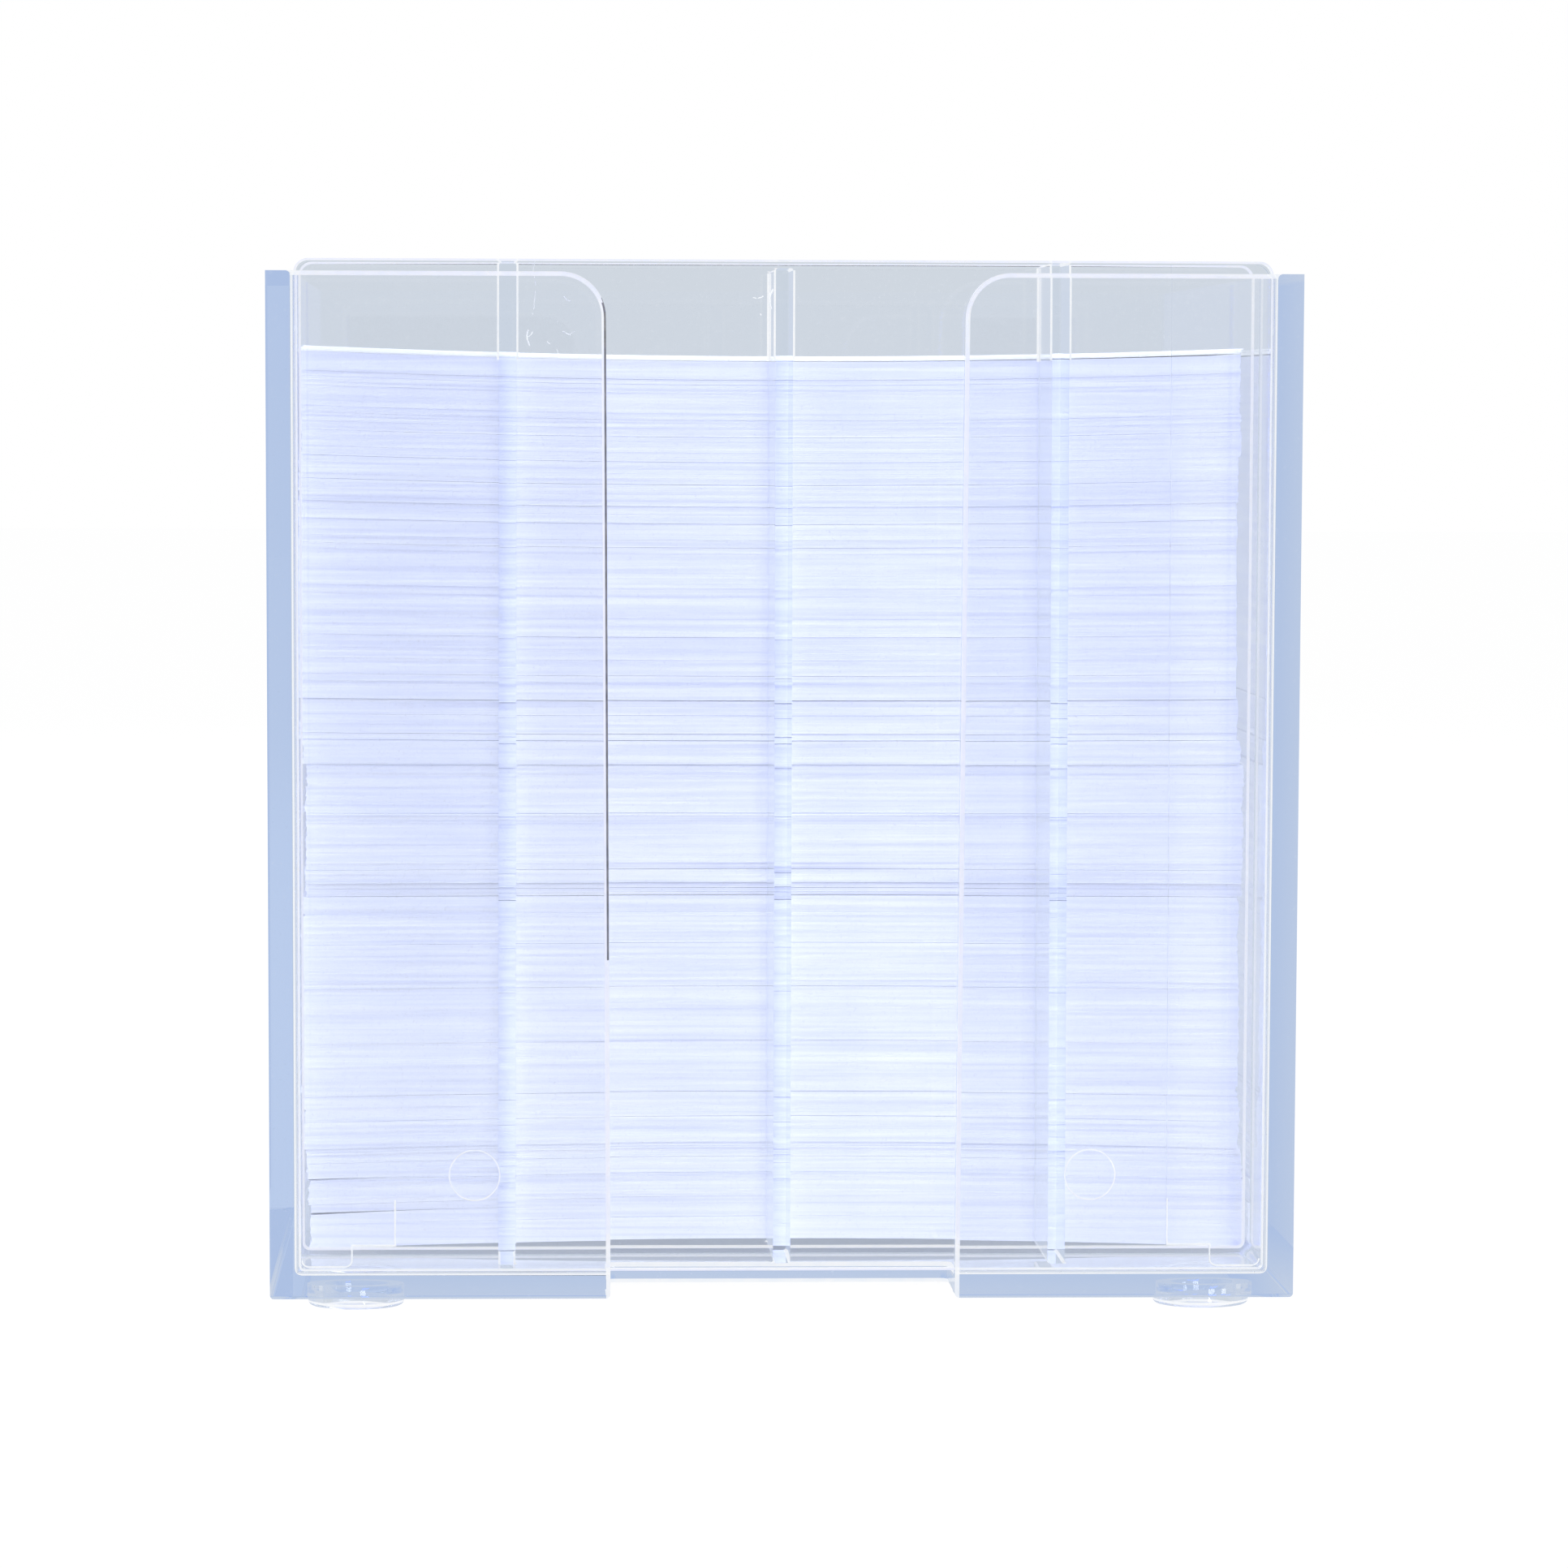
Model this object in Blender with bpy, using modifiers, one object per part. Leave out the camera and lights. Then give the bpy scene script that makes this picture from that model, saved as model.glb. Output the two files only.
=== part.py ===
"""Clear memo cube: an open box, a four-cell pen holder that drops into its front,
four ring feet and a stack of loose note sheets.

Metres, +Z up. The front faces -Y, and the origin is on the table under the middle
of the box. The walls lean out a little towards the rim, as a moulded box does.
"""
import math

import bmesh
import bpy
from mathutils import Vector

# Note sheets, and the stack that they make
SHEET_WIDTH = 0.0894
SHEET_DEPTH = 0.0894
SHEET_THICKNESS = 0.00012
STACK_HEIGHT = 0.0859
STACK_TOP_SAG = 0.0009
STACK_BASE_RISE = 0.0008
LIFT_HEIGHT_SHARES = (28, 25, 30, 38, 249, 59, 16, 86, 60, 30, 50, 120, 120, 55, 52, 50, 28)
LIFT_SHIFT_SHARES = (0.7, 0.8, 0.5, 0.1, -0.6, -0.65, -0.1, -0.1, 0.0, -0.45,
                     -0.8, -1.0, -1.0, -0.8, -0.65, -0.6, -0.6)
TOP_SHEET_SHIFT_SHARE = -0.4
BOW_STEPS = 12

# Clearances between pieces that touch or slide
TOUCH_GAP = 0.0003
SIDE_ROOM = 0.0006
FRONT_ROOM = 0.0005
REAR_ROOM = 0.0006
OVERRUN = 0.002

# Box
WALL = 0.0022
FLOOR = 0.0020
HEAD_ROOM = 0.0068
WALL_LEAN = 0.00035
OUTER_EDGE_RADIUS = 0.0003
INNER_EDGE_RADIUS = 0.0007
EDGE_SEGMENTS = 3

# Finger gap in the front wall, and the notch in the floor behind it
GAP_BASE_WIDTH = 0.0320
GAP_TOP_WIDTH = 0.0332
GAP_CORNER_RADIUS = 0.0042
NOTCH_DEPTH = 0.0118
NOTCH_EDGE_RADIUS = 0.0006
CORNER_STEPS = 8

# Round ejector marks on the inside of the front wall
MARK_SPACING = 0.0572
MARK_HEIGHT = 0.0094
MARK_RADIUS = 0.0024
MARK_DEPTH = 0.00012
MARK_SIDES = 40

# Pen holder insert
PLATE_THICKNESS = 0.0016
PARTITION_THICKNESS = 0.0016
FIN_THICKNESS = 0.0016
FIN_PITCH = 0.0256
CELL_DEPTH = 0.0160
INSERT_PROUD = 0.0012
PLATE_TOP_RADIUS = 0.0013
PLATE_FOOT_RADIUS = 0.0007
MIDDLE_FIN_DROP = 0.00075
SIDE_FIN_DROP = 0.00015
FIN_FOOT_RISE = 0.0006
PAD_WIDTH = 0.0088
PAD_FOOT_WIDTH = 0.0048
PAD_THICKNESS = 0.0005
PAD_STEP_HEIGHT = 0.0020
PAD_INSET = 0.0003

# Ring feet
FOOT_OUTER_RADIUS = 0.0045
FOOT_WALL = 0.0014
FOOT_HEIGHT = 0.0012
FOOT_EDGE = 0.0003
FOOT_SIDE_INSET = 0.0078
FOOT_END_INSET = 0.0084
FOOT_STEPS = 48

WELD_DISTANCE = 0.000005

# Places worked out from the sizes above
BASE_Z = FOOT_HEIGHT + TOUCH_GAP
FLOOR_Z = BASE_Z + FLOOR
STACK_BASE_Z = FLOOR_Z + TOUCH_GAP
RIM_Z = STACK_BASE_Z + STACK_HEIGHT + HEAD_ROOM
INSERT_DEPTH = PLATE_THICKNESS + CELL_DEPTH + PARTITION_THICKNESS
INNER_BASE_WIDTH = SHEET_WIDTH + 2 * SIDE_ROOM
INNER_BASE_DEPTH = TOUCH_GAP + INSERT_DEPTH + FRONT_ROOM + SHEET_DEPTH + REAR_ROOM
BASE_WIDTH = INNER_BASE_WIDTH + 2 * WALL
BASE_DEPTH = INNER_BASE_DEPTH + 2 * WALL
PLATE_FRONT_Y = -INNER_BASE_DEPTH / 2 + TOUCH_GAP
PARTITION_FRONT_Y = PLATE_FRONT_Y + PLATE_THICKNESS + CELL_DEPTH
STACK_FRONT_Y = PARTITION_FRONT_Y + PARTITION_THICKNESS + FRONT_ROOM
INSERT_BASE_Z = FLOOR_Z + TOUCH_GAP
INSERT_TOP_Z = RIM_Z + INSERT_PROUD


def lean_at(height):
    """How far a wall's face has moved outwards at a height, from its place at the base."""
    return WALL_LEAN * (height - BASE_Z) / (RIM_Z - BASE_Z)


def remove_everything():
    for thing in list(bpy.data.objects):
        bpy.data.objects.remove(thing)


def new_collection(name):
    collection = bpy.data.collections.new(name)
    bpy.context.scene.collection.children.link(collection)
    return collection


def principled(name, colour, roughness, transmission=0.0, ior=1.5):
    """A Principled material of one colour."""
    material = bpy.data.materials.new(name)
    material.use_nodes = True
    shader = material.node_tree.nodes["Principled BSDF"]
    shader.inputs["Base Color"].default_value = (*colour, 1.0)
    shader.inputs["Roughness"].default_value = roughness
    shader.inputs["Metallic"].default_value = 0.0
    shader.inputs["Transmission Weight"].default_value = transmission
    shader.inputs["IOR"].default_value = ior
    material.diffuse_color = (*colour, 1.0)
    return material


def link_mesh(name, mesh, collection, material=None):
    """Put a mesh into the model as an object of its own."""
    thing = bpy.data.objects.new(name, mesh)
    collection.objects.link(thing)
    if material:
        mesh.materials.append(material)
    return thing


def as_cutter(thing):
    """Show a helper as wires only, and keep it out of renders."""
    thing.hide_render = True
    thing.display_type = "WIRE"
    return thing


def flat_outline(name, points, front_y, thickness, collection, material=None):
    """A closed outline of (x, z) points as a slab that starts at front_y and runs back."""
    curve = bpy.data.curves.new(name, "CURVE")
    curve.dimensions = "2D"
    curve.fill_mode = "BOTH"
    curve.extrude = thickness / 2
    spline = curve.splines.new("POLY")
    spline.points.add(len(points) - 1)
    for spot, (x, z) in zip(spline.points, points):
        spot.co = (x, z, 0.0, 1.0)
    spline.use_cyclic_u = True
    drawn = bpy.data.objects.new(name + "_outline", curve)
    drawn.location = (0.0, front_y + thickness / 2, 0.0)
    drawn.rotation_euler = (math.radians(90), 0.0, 0.0)
    collection.objects.link(drawn)
    bpy.context.view_layer.update()
    seen = drawn.evaluated_get(bpy.context.evaluated_depsgraph_get())
    mesh = bpy.data.meshes.new_from_object(seen)
    weld(mesh)
    slab = link_mesh(name, mesh, collection, material)
    slab.matrix_world = drawn.matrix_world
    bpy.data.objects.remove(drawn)
    return slab


def weld(mesh):
    """Join the doubled points where a curve's caps meet its sides."""
    shape = bmesh.new()
    shape.from_mesh(mesh)
    bmesh.ops.remove_doubles(shape, verts=shape.verts, dist=WELD_DISTANCE)
    bmesh.ops.recalc_face_normals(shape, faces=shape.faces)
    shape.to_mesh(mesh)
    shape.free()


def arc(centre, radius, start_degrees, end_degrees):
    """Points along a round corner, in the plane of the front view."""
    points = []
    for step in range(CORNER_STEPS + 1):
        angle = math.radians(start_degrees + (end_degrees - start_degrees) * step / CORNER_STEPS)
        points.append((centre[0] + radius * math.cos(angle), centre[1] + radius * math.sin(angle)))
    return points


def mirrored(points):
    """The same outline on the other side of the middle plane, in the opposite order."""
    return [(-x, z) for x, z in reversed(points)]


def tapered_block(name, base_size, base_z, top_size, top_z, collection, material=None):
    """A box whose top and base differ in size, centred over the origin."""
    shape = bmesh.new()
    bmesh.ops.create_cube(shape, size=1.0)
    for corner in shape.verts:
        width, depth = top_size if corner.co.z > 0 else base_size
        corner.co = Vector((
            corner.co.x * width,
            corner.co.y * depth,
            top_z if corner.co.z > 0 else base_z,
        ))
    mesh = bpy.data.meshes.new(name)
    shape.to_mesh(mesh)
    shape.free()
    return link_mesh(name, mesh, collection, material)


def round_edges(thing, radius, segments=EDGE_SEGMENTS):
    bevel = thing.modifiers.new("rounded_edges", "BEVEL")
    bevel.width = radius
    bevel.segments = segments
    bevel.limit_method = "ANGLE"


def combine(thing, other, operation):
    """Cut a helper out of a piece, or join the two into one moulding."""
    boolean = thing.modifiers.new(other.name, "BOOLEAN")
    boolean.operation = operation
    boolean.solver = "EXACT"
    boolean.object = other


def gap_outline():
    """The finger gap: upright sides that spread a little, then round out at the rim."""
    radius = GAP_CORNER_RADIUS
    spread = (GAP_TOP_WIDTH - GAP_BASE_WIDTH) / 2
    corner_z = RIM_Z - radius
    half_width = GAP_TOP_WIDTH / 2 - spread * radius / (RIM_Z - BASE_Z)
    right = [(GAP_BASE_WIDTH / 2, BASE_Z - OVERRUN)]
    right += arc((half_width + radius, corner_z), radius, 180, 90)
    right.append((half_width + radius, RIM_Z + OVERRUN))
    return right + mirrored(right)


def make_box_shell(parts, cutters, material):
    """The open box, with its finger gap, floor notch and ejector marks."""
    lean = 2 * WALL_LEAN
    shell = tapered_block("box_shell", (BASE_WIDTH, BASE_DEPTH), BASE_Z,
                          (BASE_WIDTH + lean, BASE_DEPTH + lean), RIM_Z, parts, material)
    round_edges(shell, OUTER_EDGE_RADIUS)

    floor_lean = 2 * lean_at(FLOOR_Z)
    top_lean = 2 * lean_at(RIM_Z + OVERRUN)
    cavity = tapered_block("cavity", (INNER_BASE_WIDTH + floor_lean, INNER_BASE_DEPTH + floor_lean), FLOOR_Z,
                           (INNER_BASE_WIDTH + top_lean, INNER_BASE_DEPTH + top_lean), RIM_Z + OVERRUN, cutters)
    round_edges(cavity, INNER_EDGE_RADIUS)
    combine(shell, as_cutter(cavity), "DIFFERENCE")

    front_y = -BASE_DEPTH / 2 - WALL_LEAN - OVERRUN
    gap_depth = OVERRUN + WALL_LEAN + WALL + NOTCH_EDGE_RADIUS
    gap = flat_outline("finger_gap", gap_outline(), front_y, gap_depth, cutters)
    combine(shell, as_cutter(gap), "DIFFERENCE")

    notch = floor_notch(cutters)
    combine(shell, as_cutter(notch), "DIFFERENCE")

    for side in (-1, 1):
        mark = ejector_mark(side, cutters)
        combine(shell, as_cutter(mark), "DIFFERENCE")
    return shell


def floor_notch(cutters):
    """The cut that opens the floor behind the finger gap."""
    front_y = -BASE_DEPTH / 2 - WALL_LEAN - OVERRUN
    back_y = -BASE_DEPTH / 2 + NOTCH_DEPTH
    shape = bmesh.new()
    bmesh.ops.create_cube(shape, size=1.0)
    for corner in shape.verts:
        corner.co = Vector((
            corner.co.x * GAP_BASE_WIDTH,
            back_y if corner.co.y > 0 else front_y,
            FLOOR_Z + OVERRUN if corner.co.z > 0 else BASE_Z - OVERRUN,
        ))
    mesh = bpy.data.meshes.new("floor_notch")
    shape.to_mesh(mesh)
    shape.free()
    notch = link_mesh("floor_notch", mesh, cutters)
    round_edges(notch, NOTCH_EDGE_RADIUS)
    return notch


def ejector_mark(side, cutters):
    """A shallow disc cut into the inner face of one front panel."""
    height = FLOOR_Z + MARK_HEIGHT
    inner_face_y = -INNER_BASE_DEPTH / 2 - lean_at(height)
    shape = bmesh.new()
    bmesh.ops.create_cone(shape, cap_ends=True, segments=MARK_SIDES, radius1=MARK_RADIUS,
                          radius2=MARK_RADIUS, depth=OVERRUN)
    mesh = bpy.data.meshes.new("ejector_mark")
    shape.to_mesh(mesh)
    shape.free()
    mark = link_mesh("ejector_mark", mesh, cutters)
    mark.location = (side * MARK_SPACING / 2, inner_face_y - MARK_DEPTH + OVERRUN / 2, height)
    mark.rotation_euler = (math.radians(90), 0.0, 0.0)
    return mark


def insert_half_width(height):
    """Half the insert's width at a height, which keeps its clearance to the leaning walls."""
    return INNER_BASE_WIDTH / 2 + lean_at(height) - TOUCH_GAP


def insert_outline():
    """A panel of the insert: full width, round at the top corners and at the feet."""
    top, foot = PLATE_TOP_RADIUS, PLATE_FOOT_RADIUS
    foot_centre = (insert_half_width(INSERT_BASE_Z) - foot, INSERT_BASE_Z + foot)
    top_centre = (insert_half_width(RIM_Z) - top, INSERT_TOP_Z - top)
    right = arc(foot_centre, foot, -90, 0) + arc(top_centre, top, 0, 90)
    return right + mirrored(right)


def pad_outline(side):
    """A raised strip along one side of the front plate, stepped up beside its foot."""
    radius = PLATE_FOOT_RADIUS
    base_z = INSERT_BASE_Z + PAD_INSET
    base_x = insert_half_width(INSERT_BASE_Z) - PAD_INSET
    top_x = insert_half_width(RIM_Z) - PAD_INSET
    top_z = INSERT_TOP_Z - PAD_INSET
    step_x = base_x - PAD_FOOT_WIDTH
    inner_x = base_x - PAD_WIDTH
    step_z = base_z + PAD_STEP_HEIGHT
    points = arc((step_x + radius, base_z + radius), radius, 180, 270)
    points += arc((base_x - radius, base_z + radius), radius, -90, 0)
    points += arc((top_x - PLATE_TOP_RADIUS, top_z - PLATE_TOP_RADIUS), PLATE_TOP_RADIUS, 0, 90)
    points += [(inner_x, top_z), (inner_x, step_z), (step_x, step_z)]
    return points if side > 0 else mirrored(points)


def make_pen_holder(parts, cutters, material):
    """The insert: front plate, three fins, partition and side pads, moulded as one."""
    plate = flat_outline("pen_holder_insert", insert_outline(), PLATE_FRONT_Y, PLATE_THICKNESS, parts, material)
    partition = flat_outline("partition", insert_outline(), PARTITION_FRONT_Y, PARTITION_THICKNESS, cutters)
    combine(plate, as_cutter(partition), "UNION")

    fin_front_y = PLATE_FRONT_Y + PLATE_THICKNESS / 2
    fin_length = CELL_DEPTH + PLATE_THICKNESS / 2 + PARTITION_THICKNESS / 2
    fin_base_z = INSERT_BASE_Z + FIN_FOOT_RISE
    for place, drop in ((-1, SIDE_FIN_DROP), (0, MIDDLE_FIN_DROP), (1, SIDE_FIN_DROP)):
        low_x = place * FIN_PITCH - FIN_THICKNESS / 2
        high_x = low_x + FIN_THICKNESS
        top_z = INSERT_TOP_Z - drop
        corners = [(low_x, fin_base_z), (high_x, fin_base_z), (high_x, top_z), (low_x, top_z)]
        fin = flat_outline(f"fin_{place + 2}", corners, fin_front_y, fin_length, cutters)
        combine(plate, as_cutter(fin), "UNION")

    pad_front_y = PLATE_FRONT_Y + PLATE_THICKNESS / 2
    for side in (-1, 1):
        pad = flat_outline("side_pad", pad_outline(side), pad_front_y,
                           PLATE_THICKNESS / 2 + PAD_THICKNESS, cutters)
        combine(plate, as_cutter(pad), "UNION")
    return plate


def make_foot(name, x, y, parts, material, mesh=None):
    """A clear ring under the floor: a turned profile with small chamfers."""
    if mesh is None:
        outer, inner = FOOT_OUTER_RADIUS, FOOT_OUTER_RADIUS - FOOT_WALL
        profile = [
            (inner, FOOT_HEIGHT),
            (outer, FOOT_HEIGHT),
            (outer, FOOT_EDGE),
            (outer - FOOT_EDGE, 0.0),
            (inner + FOOT_EDGE, 0.0),
            (inner, FOOT_EDGE),
        ]
        shape = bmesh.new()
        corners = [shape.verts.new((radius, 0.0, height)) for radius, height in profile]
        for start, end in zip(corners, corners[1:] + corners[:1]):
            shape.edges.new((start, end))
        mesh = bpy.data.meshes.new("ring_foot")
        shape.to_mesh(mesh)
        shape.free()
        mesh.materials.append(material)
    foot = link_mesh(name, mesh, parts)
    foot.location = (x, y, 0.0)
    screw = foot.modifiers.new("turned", "SCREW")
    screw.steps = FOOT_STEPS
    screw.render_steps = FOOT_STEPS
    screw.merge_threshold = WELD_DISTANCE
    screw.use_merge_vertices = True
    screw.use_smooth_shade = False
    return foot


def make_feet(parts, material):
    x = BASE_WIDTH / 2 - FOOT_SIDE_INSET
    y = BASE_DEPTH / 2 - FOOT_END_INSET
    mesh = None
    for end, end_name in ((-1, "front"), (1, "rear")):
        for side, side_name in ((-1, "left"), (1, "right")):
            foot = make_foot(f"foot_{end_name}_{side_name}", side * x, end * y, parts, material, mesh)
            mesh = foot.data


def stack_height_at(share, x):
    """Height of a layer of the stack, by its share of the stack's height.

    The base rises and the top sags in the middle, where the stack is pinched.
    """
    middle = 1 - (2 * x / SHEET_WIDTH) ** 2
    bow = STACK_BASE_RISE + (-STACK_TOP_SAG - STACK_BASE_RISE) * share
    return STACK_BASE_Z + STACK_HEIGHT * share + bow * middle


def sheet_shift(share, shift_share):
    """How far a layer lies to one side, within the play between the walls."""
    play = SIDE_ROOM - TOUCH_GAP + lean_at(STACK_BASE_Z + STACK_HEIGHT * share)
    return play * shift_share


def layer_outline(low_share, high_share, shift_share, lift_top=0.0, lift_base=0.0):
    """Front view of a layer between two shares of the stack's height."""
    shift = sheet_shift(low_share, shift_share)
    across = [SHEET_WIDTH * (step / BOW_STEPS - 1 / 2) for step in range(BOW_STEPS + 1)]
    below = [(x + shift, stack_height_at(low_share, x) + lift_base) for x in across]
    above = [(x + shift, stack_height_at(high_share, x) + lift_top) for x in reversed(across)]
    return below + above


def make_paper(parts, material):
    """The stack as the lifts that show in it, and the loose sheet on top."""
    total = sum(LIFT_HEIGHT_SHARES)
    low_share = 0.0
    for number, (height, shift_share) in enumerate(zip(LIFT_HEIGHT_SHARES, LIFT_SHIFT_SHARES), 1):
        high_share = low_share + height / total
        outline = layer_outline(low_share, high_share, shift_share, lift_top=-TOUCH_GAP)
        flat_outline(f"memo_lift_{number:02d}", outline, STACK_FRONT_Y, SHEET_DEPTH, parts, material)
        low_share = high_share
    outline = layer_outline(low_share, low_share, TOP_SHEET_SHIFT_SHARE, lift_top=SHEET_THICKNESS)
    flat_outline("top_sheet", outline, STACK_FRONT_Y, SHEET_DEPTH, parts, material)


def build():
    remove_everything()
    parts = new_collection("memo_cube_with_pen_holder")
    cutters = new_collection("cutters")
    clear = principled("clear_plastic", (0.86, 0.92, 1.0), 0.04, transmission=1.0, ior=1.59)
    clear_insert = principled("clear_insert_plastic", (0.90, 0.95, 1.0), 0.05, transmission=1.0, ior=1.59)
    paper = principled("note_paper", (0.90, 0.93, 0.99), 0.85)
    make_box_shell(parts, cutters, clear)
    make_feet(parts, clear)
    make_pen_holder(parts, cutters, clear_insert)
    make_paper(parts, paper)


build()
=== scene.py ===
"""The looks of the clear memo cube: polished plastic that is blue at its edges, and
hundreds of cut note sheets. Sizes are in metres."""
import math
import random

import bmesh
import bpy
from mathutils import Matrix, Vector


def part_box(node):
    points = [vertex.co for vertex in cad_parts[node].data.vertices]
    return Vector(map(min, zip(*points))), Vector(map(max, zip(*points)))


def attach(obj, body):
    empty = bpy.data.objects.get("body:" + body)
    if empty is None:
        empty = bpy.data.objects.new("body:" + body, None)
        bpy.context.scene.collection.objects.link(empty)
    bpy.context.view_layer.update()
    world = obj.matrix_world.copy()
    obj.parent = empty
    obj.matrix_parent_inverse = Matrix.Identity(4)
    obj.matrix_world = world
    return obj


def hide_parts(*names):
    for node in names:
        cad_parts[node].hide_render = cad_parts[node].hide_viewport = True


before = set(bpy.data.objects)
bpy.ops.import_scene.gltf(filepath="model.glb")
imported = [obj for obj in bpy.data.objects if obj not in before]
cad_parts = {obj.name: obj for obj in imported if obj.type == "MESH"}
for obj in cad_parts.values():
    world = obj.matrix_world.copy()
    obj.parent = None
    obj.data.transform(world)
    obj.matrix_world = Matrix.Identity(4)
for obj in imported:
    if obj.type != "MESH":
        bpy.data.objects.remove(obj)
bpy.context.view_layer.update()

# Sizes that the frame doesn't give, in metres
WALL = 0.0022
FLOOR = 0.0020
INNER_BASE_WIDTH = 0.0906
TOUCH_GAP = 0.0003
OVERRUN = 0.002
MERGE_REACH = 0.000003
SPIN_MERGE_REACH = 1e-6
CUT_REACH = 1e-7
CORNER_ANGLE = math.radians(40)

# Box edges. A face belongs to the white border, a painted highlight, or to the dark gap edge, a painted
# dark reflection, by the slant of its normal
OUTER_RADIUS = 0.00035
INNER_RADIUS = 0.0007
BORDER_SLANT = (0.45, 0.65)
PANEL_EDGE_RADIUS = 0.0004
DARK_EDGE_BASE = 0.033
DARK_EDGE_SIDE_SLANT = 0.4
DARK_EDGE_FRONT_SLANT = -0.1
GAP_BASE_WIDTH = 0.0320
GAP_TOP_WIDTH = 0.0332
GAP_CORNER_RADIUS = 0.0042
NOTCH_DEPTH = 0.0118
NOTCH_RADIUS = 0.0006
CORNER_STEPS = 14

# Ejector marks on the inside of the front wall
MARK_SPACING = 0.0572
MARK_HEIGHT = 0.0094
MARK_RADIUS = 0.0024
MARK_DEPTH = 0.00012
MARK_SIDES = 72

# Insert
POLISH_RADIUS = 0.0002
PANEL_THICKNESS = 0.0016
FIN_THICKNESS = 0.0016
FIN_PITCH = 0.0256
PLATE_TOP_RADIUS = 0.0013
PLATE_FOOT_RADIUS = 0.0007
MIDDLE_FIN_DROP = 0.00075
SIDE_FIN_DROP = 0.00015
FIN_FOOT_RISE = 0.0006
# Fin and pad lines: thin strips of painted highlight beside the fins and round the pads' feet
FIN_LINE_WIDTH = 0.00018
FIN_LINE_BASE = 0.0885
PAD_WIDTH = 0.0088
PAD_FOOT_WIDTH = 0.0048
PAD_THICKNESS = 0.0005
PAD_STEP_HEIGHT = 0.0020
PAD_INSET = 0.0003
PAD_LINE_HEIGHT = 0.0043
PAD_LINE_WIDTH = 0.00016
LINE_GAP = 0.000005

# Each fin's place, in pitches from the middle, and how far it stops below the insert's top
FINS = ((-1, SIDE_FIN_DROP), (0, MIDDLE_FIN_DROP), (1, SIDE_FIN_DROP))

# Ring feet
FOOT_WALL = 0.0014
FOOT_ROUNDING = 0.00045
FOOT_ROOT = 0.0009
FOOT_STEPS = 96
FOOT_CORNER_STEPS = 5
FOOT_GLOW_SLANT = (0.1, 0.3)

# Note sheets. A memory is the share of one sheet's shift that the next one keeps
SHEET_STEPS = 14
SIDE_MEMORY = 0.8
FRONT_MEMORY = 0.7
STACK_LEAN = 1.4
SLIT_SHARE = 0.8
LIFT_END_SHARE = 0.01
SHEET_THIN = 0.00010
SHEET_THICK = 0.00024
SHEET_SLIT = 0.000004
FRONT_WANDER = 0.00005
SIDE_WANDER = 0.00005
WIDE_SLIT = 0.00004
WIDE_SLIT_CHANCE = 0.08
EDGE_SLIT = 0.00022
EDGE_SLIT_CHANCE = 0.08
EDGE_SLIT_LIFTS = (2, 3, 4)
CURL_SLIT = 0.00012
CURL_REACH = 0.03
LIT_TOP_HEIGHT = 0.00028
SLIT_REACH = 0.0060
DENT_HEIGHT = 0.0399
DENT_SPREAD = 0.0009
DENT_WIDTH = 0.0170
DENT_DEPTH = 0.0006
LIFT_TOP_SLITS = (0.00002, 0.00002, 0.00002, 0.000015, 0.00003, 0.00006, 0.00006, 0.00003, 0.00005,
                  0.00005, 0.00006, 0.000005, 0.000015, 0.00002, 0.000015, 0.00002, 0.0)
LIFT_FRONT_SHIFTS = (0.0, 0.00015, 0.0, 0.0001, 0.0, 0.00025, 0.0004, 0.0, 0.0002,
                     -0.0001, 0.00015, 0.0, 0.0001, 0.0, 0.0001, 0.0, 0.0)

# Clear plastic: how it bends light, what it lets through at each face, and where the insert is scuffed;
# also a painted glow for rays caught in a wall, painted shade behind the fins, and the edges' painted
# highlight and painted dark reflection
PLASTIC_INDEX = 1.59
ABSORPTION_COLOUR = (0.015, 0.40, 0.985)
ABSORPTION_DENSITY = 3.4
HAZE_SCALE = 60.0
HAZE_ROUGHNESS = 0.03
HAZE_BUMP_STRENGTH = 0.02
HAZE_BUMP_DEPTH = 0.0001
SCRATCH_SCALE = 900.0
SCRATCH_WIDTH = 0.006
SCRATCH_STRENGTH = 0.15
SCUFF_STRETCH = (1.0, 1.0, 0.7)
SCUFF_SCALE = 210.0
SCUFF_WIDTH = 0.005
SCUFF_PATCH_SCALE = 160.0
SCUFF_TINT = (0.98, 0.99, 1.0)
SCUFF_DULLING = 0.45
SCUFF_ROUGHNESS = 0.3
BROKEN_LINE_SCALE = 3.1
BROKEN_LINE_LEVEL = 0.56
PLASTIC_TINT = (0.996, 0.997, 1.0)
LAMP_TINT = (0.995, 0.996, 1.0)
# Painted glow that rays caught inside a wall see, in place of the light that the wall carries
PAINTED_CAUGHT_GLOW = (0.59, 0.655, 0.77)
MOST_INNER_REFLECTIONS = 1.5
# Painted shade on the partition behind each fin, which dims the paper seen there
PAINTED_FIN_SHADE = (0.91, 0.915, 0.96)
FIN_SHADE_REACH = 0.0009
EDGE_GLOW = 0.8
EDGE_WEAR_AND_GLINT_SCALE = 700.0
EDGE_ROUGHNESS = 0.4
EDGE_TINTS = ((0.3, (0.93, 0.96, 1.0)), (0.6, (0.99, 0.995, 1.0)))
# Painted dark reflection for the left panel's edge at the gap
DARK_EDGE_TINTS = ((0.3, (0.16, 0.16, 0.16)), (0.7, (0.30, 0.29, 0.28)))
SCUFF_PLACES = (((-0.0225, -0.0547, 0.0925), 0.009), ((-0.0010, -0.0547, 0.0945), 0.004))
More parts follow.
